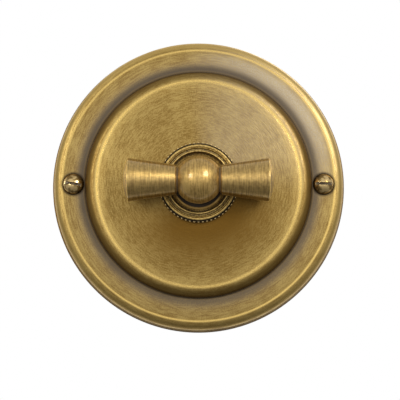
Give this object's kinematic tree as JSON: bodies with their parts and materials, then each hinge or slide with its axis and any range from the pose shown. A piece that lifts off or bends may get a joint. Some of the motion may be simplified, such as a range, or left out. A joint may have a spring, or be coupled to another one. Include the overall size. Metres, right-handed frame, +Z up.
{
  "type": "rotary switch",
  "caption": "Round flush wall rotary switch with a stamped aged-brass plate, slotted fixing screws, a knurled ring nut and a bow-tie turning handle on a ceramic mechanism.",
  "frame": {"origin": "centre of the wall plane, where the spindle's axis meets the plane of the plate's back rim", "axes": "+Y into the wall along the spindle, -Y out of the front, +Z up, +X to the right seen from the front"},
  "size_m": [0.085, 0.046, 0.085],
  "materials": {
    "plate_brass": "aged satin brass with brown patina",
    "screw_brass": "aged polished brass",
    "nut_brass": "aged brass, dark in the grooves",
    "handle_brass": "aged brushed brass",
    "plain_brass": "plain turned brass",
    "spring_bronze": "rolled spring bronze",
    "steel": "turned steel",
    "zinc_steel": "zinc-plated steel",
    "screw_steel": "zinc-plated steel",
    "porcelain": "white glaze",
    "bakelite": "dark moulded phenolic",
    "fibre": "red-brown vulcanised fibre"
  },
  "bodies": {
    "housing": {"cover_plate": "plate_brass", "plate_screws": "screw_brass", "ring_nut": "nut_brass", "lock_washer": "steel", "threaded_bush": "plain_brass", "bridge_plate": "zinc_steel", "insulating_disc": "fibre", "ceramic_base": "porcelain", "bridge_screws": "screw_steel", "clamp_screws": "screw_steel", "fixing_screws": "screw_steel", "detent_leaf_upper": "spring_bronze", "detent_leaf_lower": "spring_bronze", "terminal_block_1": "plain_brass", "terminal_block_2": "plain_brass", "terminal_block_3": "plain_brass", "terminal_block_4": "plain_brass", "contact_blade_1": "spring_bronze", "contact_blade_2": "spring_bronze", "contact_blade_3": "spring_bronze", "contact_blade_4": "spring_bronze"},
    "rotor": {"handle": "handle_brass", "grub_screw": "steel", "spindle": "steel", "thrust_washer": "plain_brass", "detent_cam": "steel", "contact_drum": "bakelite", "drum_strip_front": "plain_brass", "drum_strip_rear": "plain_brass", "tail_washer": "plain_brass", "retaining_clip": "steel"}
  },
  "joints": [
    {"name": "handle_turn", "type": "hinge", "parent": "housing", "child": "rotor", "pos_m": [0, 0, 0], "axis": [0, 1, 0], "continuous": true, "deforming": ["detent_leaf_upper", "detent_leaf_lower"]}
  ]
}
